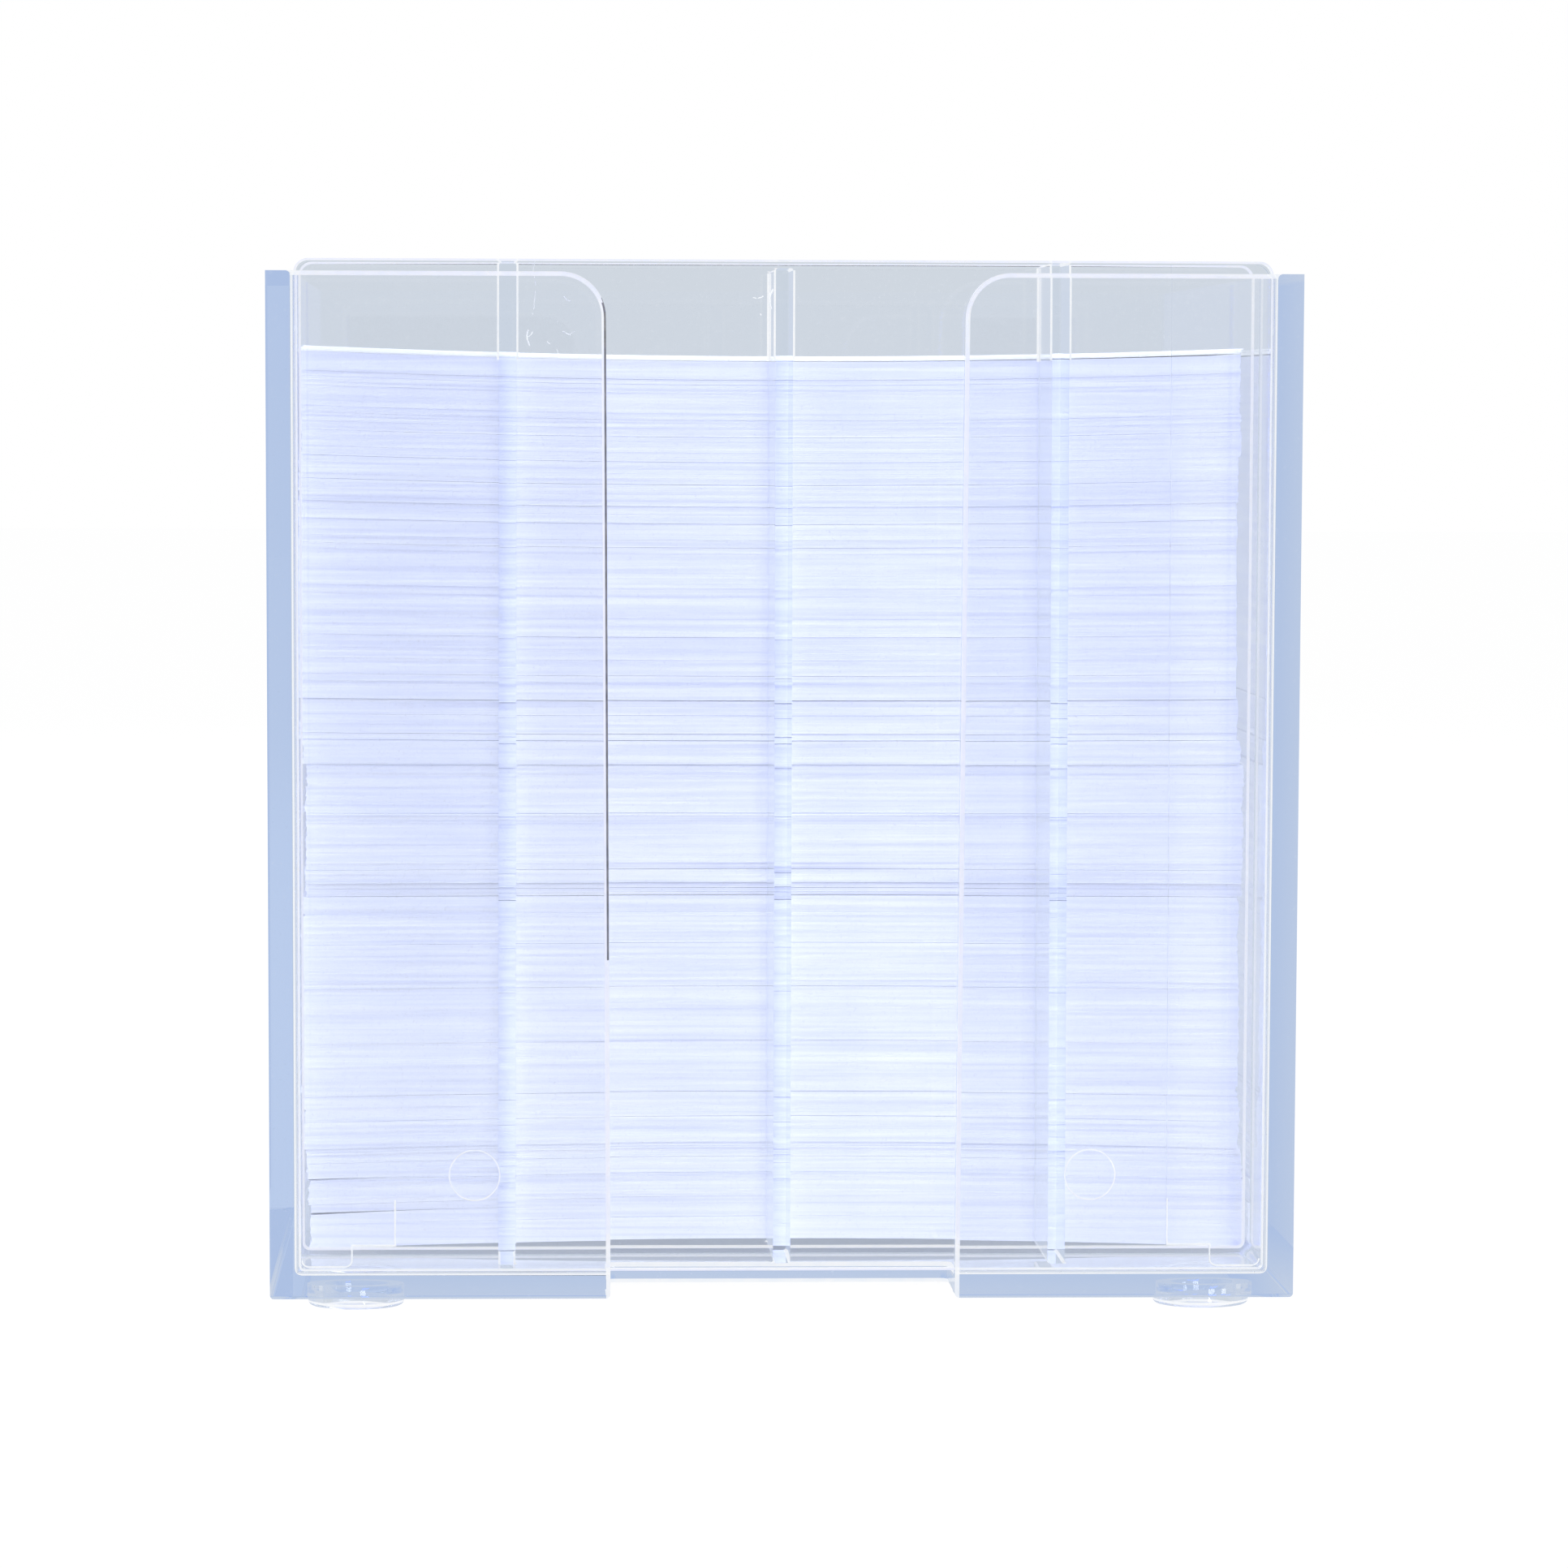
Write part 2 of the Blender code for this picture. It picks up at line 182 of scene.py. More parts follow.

# Paper: streaks along the cut edges, a mottle, and colours by the level of the two, less a painted shade
# that grows towards the top; then a lighter copy with a painted highlight for the topmost sheets
STREAK_STRETCH = (0.012, 0.012, 1.0)
STREAK_SCALE = 3000.0
STREAK_SHARE = 0.75
STREAK_BUMP_STRENGTH = 0.25
STREAK_BUMP_DEPTH = 0.00004
PAPER_MOTTLE_SCALE = 45.0
PAINTED_TOP_SHADE = 2.1
PAPER_COLOURS = ((0.28, (0.65, 0.69, 0.88)), (0.5, (0.75, 0.785, 0.915)), (0.68, (0.81, 0.835, 0.93)))
PAPER_ROUGHNESS = 0.9
PAPER_SPECULAR = 0.2
# The lighter copy of the paper, a painted highlight on the topmost sheets
LIT_TOP_MOTTLE_SCALE = 160.0
LIT_TOP_COLOURS = ((0.35, (0.91, 0.94, 0.97)), (0.65, (0.95, 0.965, 0.98)))
LIT_TOP_ROUGHNESS = 0.85
LIT_TOP_BUMP_STRENGTH = 0.15
LIT_TOP_BUMP_DEPTH = 0.00003

# A noise that isn't stretched, and the level between none and one in a ray's count of bounces
EVEN = (1.0, 1.0, 1.0)
AT_LEAST_ONE = 0.5

# Faces whose normal lies this close to an axis are shaded flat
FLAT_SHARE = 0.9999

# Studio: the dome's light, the backdrop as the plastic shows it, and the share of its light
# that the floor can lose
WHITE = (1.0, 1.0, 1.0)
DOME_LIGHT = (0.61, 0.61, 0.62)
MIRRORED_BACKDROP = (0.67, 0.72, 0.80)
BACKDROP_THROUGH_PLASTIC = (0.63, 0.68, 0.735)
FLOOR_COLOUR = (0.93, 0.93, 0.93)
FLOOR_SHADOW_SHARE = 0.08
FLOOR_GLOW = 1.03
FLOOR_REACH = 4.0

# Lamps: name, place, size and power. Each is aimed at the middle of the object
LAMP_AIM = (0.0, 0.0, 0.05)
LAMPS = (
    ("front_softbox", (0.52, -0.72, 0.20), (0.5, 0.4), 3.8),
    ("top_softbox", (-0.15, -0.2, 0.75), (0.6, 0.6), 2.0),
    ("rear_softbox", (-0.35, 0.65, 0.55), (0.5, 0.5), 2.6),
)

# Camera, fitted to the corners of the box in the photograph
CAMERA_PLACE = Vector((-0.0264, -0.6884, 0.0841))
CAMERA_YAW = math.radians(2.39)
CAMERA_PITCH = math.radians(3.15)
CAMERA_ROLL = math.radians(0.18)
CAMERA_LENS = 157.2
CAMERA_SENSOR = 36.0
CAMERA_NEAREST = 0.01

LIFT_COUNT = len([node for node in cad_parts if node.startswith("memo_lift_")])
shell_low, shell_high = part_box("box_shell")
insert_low, insert_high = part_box("pen_holder_insert")
BASE_Z = shell_low.z
FLOOR_Z = BASE_Z + FLOOR
RIM_Z = shell_high.z
BASE_WIDTH = INNER_BASE_WIDTH + 2 * WALL
WALL_LEAN = shell_high.x - BASE_WIDTH / 2
BASE_DEPTH = 2 * (shell_high.y - WALL_LEAN)
INNER_BASE_DEPTH = BASE_DEPTH - 2 * WALL
PANEL_REACH_X = INNER_BASE_WIDTH / 2 + WALL_LEAN + TOUCH_GAP
PANEL_REACH_Y = -BASE_DEPTH / 2 + NOTCH_DEPTH + PANEL_EDGE_RADIUS


def lean_at(height):
    """How far a wall's face has moved outwards at a height."""
    return WALL_LEAN * (height - BASE_Z) / (RIM_Z - BASE_Z)


# Materials

def new_material(name):
    """An empty node material, with its node tree and output."""
    material = bpy.data.materials.new(name)
    material.use_nodes = True
    tree = material.node_tree
    tree.nodes.clear()
    output = tree.nodes.new("ShaderNodeOutputMaterial")
    return material, tree, output


def math_node(tree, operation, first, second=0.0):
    """An arithmetic step on plain numbers or sockets."""
    node = tree.nodes.new("ShaderNodeMath")
    node.operation = operation
    for socket, value in zip(node.inputs, (first, second)):
        if isinstance(value, (int, float)):
            socket.default_value = value
        else:
            tree.links.new(value, socket)
    return node.outputs[0]


def stretched_noise(tree, stretch, scale, detail=2.0, roughness=0.5):
    """Noise in the piece's own coordinates, stretched by a share along each axis."""
    place = tree.nodes.new("ShaderNodeTexCoord")
    mapping = tree.nodes.new("ShaderNodeMapping")
    mapping.inputs["Scale"].default_value = stretch
    tree.links.new(place.outputs["Object"], mapping.inputs["Vector"])
    noise = tree.nodes.new("ShaderNodeTexNoise")
    noise.inputs["Scale"].default_value = scale
    noise.inputs["Detail"].default_value = detail
    noise.inputs["Roughness"].default_value = roughness
    tree.links.new(mapping.outputs["Vector"], noise.inputs["Vector"])
    return noise.outputs["Fac"]


def ramp(tree, value, stops):
    """A colour ramp through (position, colour) stops."""
    node = tree.nodes.new("ShaderNodeValToRGB")
    while len(node.color_ramp.elements) < len(stops):
        node.color_ramp.elements.new(0.5)
    for element, (position, colour) in zip(node.color_ramp.elements, stops):
        element.position = position
        element.color = (*colour, 1.0)
    tree.links.new(value, node.inputs["Fac"])
    return node.outputs["Color"]


def mix_colour(tree, share, first, second):
    """A blend of two colours, each a plain colour or a socket."""
    mix = tree.nodes.new("ShaderNodeMix")
    mix.data_type = "RGBA"
    tree.links.new(share, mix.inputs["Factor"])
    for name, value in (("A", first), ("B", second)):
        socket = [one for one in mix.inputs if one.name == name and one.type == "RGBA"][0]
        if isinstance(value, tuple):
            socket.default_value = (*value, 1.0)
        else:
            tree.links.new(value, socket)
    return [one for one in mix.outputs if one.type == "RGBA"][0]


def place_on(tree, axis):
    """The shaded point's place along an axis of the part."""
    where = tree.nodes.new("ShaderNodeTexCoord")
    split = tree.nodes.new("ShaderNodeSeparateXYZ")
    tree.links.new(where.outputs["Object"], split.inputs["Vector"])
    return split.outputs[axis]


def near_place(tree, place, reach):
    """1 near a place on the piece, falling to 0 at the reach."""
    where = tree.nodes.new("ShaderNodeTexCoord")
    apart = tree.nodes.new("ShaderNodeVectorMath")
    apart.operation = "DISTANCE"
    tree.links.new(where.outputs["Object"], apart.inputs[0])
    apart.inputs[1].default_value = place
    share = math_node(tree, "DIVIDE", apart.outputs["Value"], reach)
    return math_node(tree, "MAXIMUM", math_node(tree, "SUBTRACT", 1.0, share), 0.0)


def scratch_lines(tree, stretch, scale, width):
    """Thin broken lines where a noise field crosses its middle value."""
    field = stretched_noise(tree, stretch, scale, roughness=0.6)
    off_middle = math_node(tree, "ABSOLUTE", math_node(tree, "SUBTRACT", field, 0.5))
    line = math_node(tree, "LESS_THAN", off_middle, width)
    gaps = stretched_noise(tree, EVEN, scale * BROKEN_LINE_SCALE)
    broken = math_node(tree, "GREATER_THAN", gaps, BROKEN_LINE_LEVEL)
    return math_node(tree, "MULTIPLY", line, broken)


def add_bump(tree, shader, height, strength, depth):
    """A fine relief from a height field."""
    bump = tree.nodes.new("ShaderNodeBump")
    bump.inputs["Strength"].default_value = strength
    bump.inputs["Distance"].default_value = depth
    tree.links.new(height, bump.inputs["Height"])
    tree.links.new(bump.outputs["Normal"], shader.inputs["Normal"])


def finish_plastic(tree, shader, output):
    """Let the lamps' light through, and give rays caught inside a wall a painted soft glow, in place of the
    light it carries.
    """
    light_path = tree.nodes.new("ShaderNodeLightPath")
    painted_glow = tree.nodes.new("ShaderNodeEmission")
    painted_glow.inputs["Color"].default_value = (*PAINTED_CAUGHT_GLOW, 1.0)
    caught = math_node(tree, "GREATER_THAN", light_path.outputs["Glossy Depth"], MOST_INNER_REFLECTIONS)
    inside = tree.nodes.new("ShaderNodeMixShader")
    tree.links.new(caught, inside.inputs["Fac"])
    tree.links.new(shader.outputs[0], inside.inputs[1])
    tree.links.new(painted_glow.outputs["Emission"], inside.inputs[2])
    lamp_way = tree.nodes.new("ShaderNodeBsdfTransparent")
    lamp_way.inputs["Color"].default_value = (*LAMP_TINT, 1.0)
    mix = tree.nodes.new("ShaderNodeMixShader")
    tree.links.new(light_path.outputs["Is Shadow Ray"], mix.inputs["Fac"])
    tree.links.new(inside.outputs["Shader"], mix.inputs[1])
    tree.links.new(lamp_way.outputs["BSDF"], mix.inputs[2])
    tree.links.new(mix.outputs["Shader"], output.inputs["Surface"])


def absorb(tree, output):
    """The plastic's own colour, which shows along its edges."""
    absorption = tree.nodes.new("ShaderNodeVolumeAbsorption")
    absorption.inputs["Color"].default_value = (*ABSORPTION_COLOUR, 1.0)
    absorption.inputs["Density"].default_value = ABSORPTION_DENSITY
    tree.links.new(absorption.outputs["Volume"], output.inputs["Volume"])


def behind_fins(tree):
    """Where the painted shade goes: 1 on the back of the partition behind each fin, up to the paper's top,
    and 0 elsewhere.
    """
    across = place_on(tree, "X")
    fin = math_node(tree, "ROUND", math_node(tree, "DIVIDE", across, FIN_PITCH))
    off_fin = math_node(tree, "SUBTRACT", across, math_node(tree, "MULTIPLY", fin, FIN_PITCH))
    near = math_node(tree, "LESS_THAN", math_node(tree, "ABSOLUTE", off_fin), FIN_SHADE_REACH)
    back = math_node(tree, "GREATER_THAN", place_on(tree, "Y"), insert_high.y - TOUCH_GAP)
    low = math_node(tree, "LESS_THAN", place_on(tree, "Z"), FIN_LINE_BASE)
    return math_node(tree, "MULTIPLY", near, math_node(tree, "MULTIPLY", back, low))


def clear_plastic(name, scuff_places=(), painted_fin_shade=False):
    """Polished clear plastic with a blue tint, faint haze, scuffs near the given places and, where asked,
    painted shade behind the fins.
    """
    material, tree, output = new_material(name)
    shader = tree.nodes.new("ShaderNodeBsdfPrincipled")
    shader.inputs["IOR"].default_value = PLASTIC_INDEX
    haze = stretched_noise(tree, EVEN, HAZE_SCALE, detail=3.0)
    scratches = scratch_lines(tree, EVEN, SCRATCH_SCALE, SCRATCH_WIDTH)
    scuffs = math_node(tree, "MULTIPLY", scratches, SCRATCH_STRENGTH)
    for place, reach in scuff_places:
        lines = scratch_lines(tree, SCUFF_STRETCH, SCUFF_SCALE, SCUFF_WIDTH)
        patches = stretched_noise(tree, EVEN, SCUFF_PATCH_SCALE)
        near = math_node(tree, "GREATER_THAN", near_place(tree, place, reach), patches)
        scuffs = math_node(tree, "MAXIMUM", scuffs, math_node(tree, "MULTIPLY", lines, near))
    colour = ramp(tree, scuffs, ((0.0, PLASTIC_TINT), (1.0, SCUFF_TINT)))
    # Painted shade behind the fins
    if painted_fin_shade:
        colour = mix_colour(tree, behind_fins(tree), colour, PAINTED_FIN_SHADE)
    tree.links.new(colour, shader.inputs["Base Color"])
    clear = math_node(tree, "SUBTRACT", 1.0, math_node(tree, "MULTIPLY", scuffs, SCUFF_DULLING))
    tree.links.new(clear, shader.inputs["Transmission Weight"])
    rough = math_node(tree, "MULTIPLY", haze, HAZE_ROUGHNESS)
    rough = math_node(tree, "ADD", rough, math_node(tree, "MULTIPLY", scuffs, SCUFF_ROUGHNESS))
    tree.links.new(rough, shader.inputs["Roughness"])
    add_bump(tree, shader, haze, HAZE_BUMP_STRENGTH, HAZE_BUMP_DEPTH)
    finish_plastic(tree, shader, output)
    absorb(tree, output)
    return material


def painted_highlight_edge(name, dark_reflection_base=None):
    """The fine rounded edges of the plastic, nearly white with a painted highlight that glows in their
    tint.

    Above dark_reflection_base, an edge shows a painted dark reflection of the dark side of the room
    instead."""
    material, tree, output = new_material(name)
    shader = tree.nodes.new("ShaderNodeBsdfPrincipled")
    shader.inputs["IOR"].default_value = PLASTIC_INDEX
    shader.inputs["Transmission Weight"].default_value = 1.0
    # One noise sets the edges' wear in roughness and varies their painted highlight
    wear_and_glint = stretched_noise(tree, EVEN, EDGE_WEAR_AND_GLINT_SCALE, detail=3.0)
    tree.links.new(math_node(tree, "MULTIPLY", wear_and_glint, EDGE_ROUGHNESS), shader.inputs["Roughness"])
    tint = ramp(tree, wear_and_glint, EDGE_TINTS)
    if dark_reflection_base is not None:
        dark = ramp(tree, wear_and_glint, DARK_EDGE_TINTS)
        above = math_node(tree, "GREATER_THAN", place_on(tree, "Z"), dark_reflection_base)
        tint = mix_colour(tree, above, tint, dark)
    tree.links.new(tint, shader.inputs["Base Color"])
    # Painted highlight: the edge glows in its own tint, darker where it shows the painted dark reflection
    glow = tree.nodes.new("ShaderNodeEmission")
    tree.links.new(tint, glow.inputs["Color"])
    mix = tree.nodes.new("ShaderNodeMixShader")
    mix.inputs["Fac"].default_value = EDGE_GLOW
    tree.links.new(shader.outputs["BSDF"], mix.inputs[1])
    tree.links.new(glow.outputs["Emission"], mix.inputs[2])
    finish_plastic(tree, mix, output)
    absorb(tree, output)
    return material


def note_paper():
    """White paper: fine streaks along the cut edges, a faint mottle on the faces, and a painted shade that
    darkens it towards the top.
    """
    material, tree, output = new_material("note_paper")
    shader = tree.nodes.new("ShaderNodeBsdfPrincipled")
    shader.inputs["Roughness"].default_value = PAPER_ROUGHNESS
    shader.inputs["Specular IOR Level"].default_value = PAPER_SPECULAR
    streaks = stretched_noise(tree, STREAK_STRETCH, STREAK_SCALE, roughness=0.6)
    mottle = stretched_noise(tree, EVEN, PAPER_MOTTLE_SCALE, detail=3.0)
    value = math_node(tree, "MULTIPLY", streaks, STREAK_SHARE)
    value = math_node(tree, "ADD", value, math_node(tree, "MULTIPLY", mottle, 1.0 - STREAK_SHARE))
    # Painted shade: the paper grows darker towards the top
    height = math_node(tree, "MULTIPLY", place_on(tree, "Z"), PAINTED_TOP_SHADE)
    value = math_node(tree, "SUBTRACT", value, height)
    tree.links.new(ramp(tree, value, PAPER_COLOURS), shader.inputs["Base Color"])
    add_bump(tree, shader, streaks, STREAK_BUMP_STRENGTH, STREAK_BUMP_DEPTH)
    tree.links.new(shader.outputs["BSDF"], output.inputs["Surface"])
    return material


def lit_top_paper():
    """A lighter copy of the paper for the edges of the topmost sheets, a painted highlight from the light
    above.
    """
    material, tree, output = new_material("lit_top_paper")
    shader = tree.nodes.new("ShaderNodeBsdfPrincipled")
    shader.inputs["Roughness"].default_value = LIT_TOP_ROUGHNESS
    shader.inputs["Specular IOR Level"].default_value = PAPER_SPECULAR
    mottle = stretched_noise(tree, EVEN, LIT_TOP_MOTTLE_SCALE, detail=4.0)
    tree.links.new(ramp(tree, mottle, LIT_TOP_COLOURS), shader.inputs["Base Color"])
    add_bump(tree, shader, mottle, LIT_TOP_BUMP_STRENGTH, LIT_TOP_BUMP_DEPTH)
    tree.links.new(shader.outputs["BSDF"], output.inputs["Surface"])
    return material


# Meshes

def link_mesh(name, mesh):
    """An object for a mesh, in the scene."""
    thing = bpy.data.objects.new(name, mesh)
    bpy.context.scene.collection.objects.link(thing)
    return thing


def arc(centre, radius, start_degrees, end_degrees, steps=CORNER_STEPS):
    """Points along a round corner, in the plane of the front view."""
    points = []
    for step in range(steps + 1):
        angle = math.radians(start_degrees + (end_degrees - start_degrees) * step / steps)
        points.append((centre[0] + radius * math.cos(angle), centre[1] + radius * math.sin(angle)))
    return points


def mirrored(points):
    """The same outline on the other side, still in one turning sense."""
    return [(-x, z) for x, z in reversed(points)]


def prism(name, points, front_y, thickness):
    """A closed front-view outline as a slab that starts at front_y and runs back."""
    shape = bmesh.new()
    corners = [shape.verts.new((x, front_y, z)) for x, z in points]
    face = shape.faces.new(corners)
    grown = bmesh.ops.extrude_face_region(shape, geom=[face])
    moved = [part for part in grown["geom"] if isinstance(part, bmesh.types.BMVert)]
    bmesh.ops.translate(shape, verts=moved, vec=(0.0, thickness, 0.0))
    bmesh.ops.recalc_face_normals(shape, faces=shape.faces)
    mesh = bpy.data.meshes.new(name)
    shape.to_mesh(mesh)
    shape.free()
    return link_mesh(name, mesh)


def tapered_block(name, base_size, base_z, top_size, top_z):
    """A box whose top and base differ in size, centred over the origin."""
    shape = bmesh.new()
    bmesh.ops.create_cube(shape, size=1.0)
    for corner in shape.verts:
        width, depth = top_size if corner.co.z > 0 else base_size
        height = top_z if corner.co.z > 0 else base_z
        corner.co = Vector((corner.co.x * width, corner.co.y * depth, height))
    mesh = bpy.data.meshes.new(name)
    shape.to_mesh(mesh)
    shape.free()
    return link_mesh(name, mesh)


def round_edges(thing, radius, segments, wanted=None):
    """A bevel on every corner, or on the edges that the test picks."""
    bevel = thing.modifiers.new("rounded_edges", "BEVEL")
    bevel.width = radius
    bevel.segments = segments
    bevel.limit_method = "ANGLE"
    if wanted:
        shape = bmesh.new()
        shape.from_mesh(thing.data)
        layers = shape.edges.layers.float
        weight = layers.get("bevel_weight_edge") or layers.new("bevel_weight_edge")
        for edge in shape.edges:
            edge[weight] = float(edge.is_manifold and wanted(edge))
        shape.to_mesh(thing.data)
        shape.free()
        bevel.limit_method = "WEIGHT"
        bevel.use_clamp_overlap = False
    return bevel


def is_corner(edge):
    """Whether an edge is a sharp outward corner."""
    return edge.calc_face_angle_signed() > CORNER_ANGLE


def is_panel_corner(edge):
    """Whether it is such a corner of the front panels or the floor notch, short of the side walls."""
    reach_x = max(abs(corner.co.x) for corner in edge.verts)
    reach_y = max(corner.co.y for corner in edge.verts)
    return is_corner(edge) and reach_x < PANEL_REACH_X and reach_y < PANEL_REACH_Y


def combine(thing, other, operation):
    """Cut a helper out of a piece, or join the two, and drop the helper."""
    boolean = thing.modifiers.new(other.name, "BOOLEAN")
    boolean.operation = operation
    boolean.solver = "EXACT"
    boolean.object = other
    settle(thing)
    bpy.data.objects.remove(other)


def settle(thing):
    """Turn what the modifiers make into the piece's own mesh."""
    bpy.context.view_layer.update()
    seen = thing.evaluated_get(bpy.context.evaluated_depsgraph_get())
    mesh = bpy.data.meshes.new_from_object(seen)
    thing.modifiers.clear()
    thing.data = mesh


def points_along(edge, points):
    """The points that lie on an edge between its ends, in order from its first end."""
    start = edge.verts[0].co
    run = edge.verts[1].co - start
    found = []
    for point in points:
        share = (point.co - start).dot(run) / run.length_squared
        off = (start + run * share - point.co).length
        if point not in edge.verts and 0 < share < 1 and off < MERGE_REACH:
            found.append((share, point))
    return [point for share, point in sorted(found, key=lambda pair: pair[0])]


def heal(mesh):
    """Merge the points that the cuts left on top of each other, and close the seams."""
    shape = bmesh.new()
    shape.from_mesh(mesh)
    bmesh.ops.remove_doubles(shape, verts=shape.verts, dist=MERGE_REACH)
    bmesh.ops.dissolve_degenerate(shape, edges=shape.edges, dist=MERGE_REACH)
    open_edges = [edge for edge in shape.edges if len(edge.link_faces) == 1]
    points = {point for edge in open_edges for point in edge.verts}
    for edge in open_edges:
        near, far = edge.verts
        for point in points_along(edge, points):
            share = (point.co - near.co).length / edge.calc_length()
            near = bmesh.utils.edge_split(edge, near, share)[1]
            near.co = point.co
            edge = next(link for link in near.link_edges if far in link.verts)
    bmesh.ops.remove_doubles(shape, verts=shape.verts, dist=MERGE_REACH)
    shape.to_mesh(mesh)
    shape.free()


def shade(mesh):
    """Main faces stay flat, so that light crosses them as through a true plane."""
    for face in mesh.polygons:
        face.use_smooth = max(abs(share) for share in face.normal) < FLAT_SHARE


def polish(thing, materials, radius, segments, wanted):
    """Fine rounded edges in the second material, which gives them a painted highlight."""
    for material in materials:
        thing.data.materials.append(material)
    bevel = round_edges(thing, radius, segments, wanted)
    bevel.material = 1
    settle(thing)


def dress(thing, materials, body, slot, *nodes):
    """Give a piece its materials, hang it on what it rides on, and hide the model parts that it stands for.
    """
    if not thing.data.materials:
        for material in materials:
            thing.data.materials.append(material)
    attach(thing, body)
    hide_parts(*nodes)


# Box

def gap_outline():
    """The finger gap: upright sides that spread a little, then round out at the rim."""
    radius = GAP_CORNER_RADIUS
    spread = (GAP_TOP_WIDTH - GAP_BASE_WIDTH) / 2
    half_width = GAP_TOP_WIDTH / 2 - spread * radius / (RIM_Z - BASE_Z)
    right = [(GAP_BASE_WIDTH / 2, BASE_Z - OVERRUN), (GAP_BASE_WIDTH / 2, FLOOR_Z)]
    right += arc((half_width + radius, RIM_Z - radius), radius, 180, 90)
    right.append((half_width + radius, RIM_Z + OVERRUN))
    return right + mirrored(right)


def ejector_mark(x, materials):
    """A cutter for a shallow round recess with a slanted side, in the inside of the front wall."""
    height = FLOOR_Z + MARK_HEIGHT
    face_y = -INNER_BASE_DEPTH / 2 - lean_at(height)
    floor_radius = MARK_RADIUS - MARK_DEPTH
    ring = arc((x, height), floor_radius, 0, 360, MARK_SIDES)[:-1]
    mark = prism("ejector_mark", ring, face_y - MARK_DEPTH, OVERRUN)
    for corner in mark.data.vertices:
        if corner.co.y > face_y:
            corner.co.x = x + (corner.co.x - x) * (floor_radius + OVERRUN) / floor_radius
            corner.co.z = height + (corner.co.z - height) * (floor_radius + OVERRUN) / floor_radius
    for material in materials:
        mark.data.materials.append(material)
    # The slanted side takes the edge material's painted highlight
    for face in mark.data.polygons:
        face.material_index = int(len(face.vertices) == 4)
    return mark


def split_at(mesh, x):
    """Split the edges that cross an upright plane, so that their rounding can end there."""
    shape = bmesh.new()
    shape.from_mesh(mesh)
    parts = list(shape.verts) + list(shape.edges) + list(shape.faces)
    bmesh.ops.bisect_plane(shape, geom=parts, dist=CUT_REACH, plane_co=(x, 0.0, 0.0),
                           plane_no=(1.0, 0.0, 0.0))
    shape.to_mesh(mesh)
    shape.free()


def on_border(face):
    """Whether a face is in the strip of the inner rounding that outlines the front wall in a painted white
    highlight.
    """
    low_y, high_y = -BASE_DEPTH / 2 + OUTER_RADIUS, -INNER_BASE_DEPTH / 2 + INNER_RADIUS
    return low_y < face.center.y < high_y and BORDER_SLANT[0] < abs(face.normal.y) < BORDER_SLANT[1]


def sort_edges(mesh):
    """The panels' edges keep their painted highlight, but the left panel's edge at the gap takes a painted
    dark reflection.
    """
    low_x, high_x = -GAP_TOP_WIDTH / 2 - PANEL_EDGE_RADIUS, -GAP_BASE_WIDTH / 2 + TOUCH_GAP
    for face in mesh.polygons:
        at_gap = face.material_index == 1 and low_x < face.center.x < high_x
        slanted = face.normal.x > DARK_EDGE_SIDE_SLANT and face.normal.y < DARK_EDGE_FRONT_SLANT
        if at_gap and slanted:
            face.material_index = 2
        elif on_border(face):
            face.material_index = 1


def make_box(materials):
    """The box shell: a block with rounded lower edges, less its cavity, finger gap and floor notch."""
    rim_size = (BASE_WIDTH + 2 * WALL_LEAN, BASE_DEPTH + 2 * WALL_LEAN)
    shell = tapered_block("clear_box", (BASE_WIDTH, BASE_DEPTH), BASE_Z, rim_size, RIM_Z)
    round_edges(shell, OUTER_RADIUS, segments=3,
                wanted=lambda edge: max(corner.co.z for corner in edge.verts) < FLOOR_Z)
    settle(shell)

    low_lean, high_lean = 2 * lean_at(FLOOR_Z), 2 * lean_at(RIM_Z + OVERRUN)
    cavity = tapered_block("cavity", (INNER_BASE_WIDTH + low_lean, INNER_BASE_DEPTH + low_lean), FLOOR_Z,
                           (INNER_BASE_WIDTH + high_lean, INNER_BASE_DEPTH + high_lean), RIM_Z + OVERRUN)
    round_edges(cavity, INNER_RADIUS, segments=4,
                wanted=lambda edge: min(corner.co.y for corner in edge.verts) < 0)
    combine(shell, cavity, "DIFFERENCE")

    front_y = -BASE_DEPTH / 2 - WALL_LEAN - OVERRUN
    gap = prism("finger_gap", gap_outline(), front_y, OVERRUN + WALL_LEAN + WALL + NOTCH_RADIUS)
    combine(shell, gap, "DIFFERENCE")

    back_y = -BASE_DEPTH / 2 + NOTCH_DEPTH
    half = GAP_BASE_WIDTH / 2
    low, high = BASE_Z - OVERRUN, FLOOR_Z + OVERRUN
    corners = [(-half, low), (half, low), (half, high), (-half, high)]
    notch = prism("floor_notch", corners, front_y, back_y - front_y)
    round_edges(notch, NOTCH_RADIUS, segments=4)
    combine(shell, notch, "DIFFERENCE")

    for side in (-1, 1):
        split_at(shell.data, side * INNER_BASE_WIDTH / 2)
    polish(shell, materials, PANEL_EDGE_RADIUS, segments=3, wanted=is_panel_corner)
    sort_edges(shell.data)
    for side in (-1, 1):
        combine(shell, ejector_mark(side * MARK_SPACING / 2, materials), "DIFFERENCE")
    shade(shell.data)
    dress(shell, materials, "box", "clear_box", "box_shell")


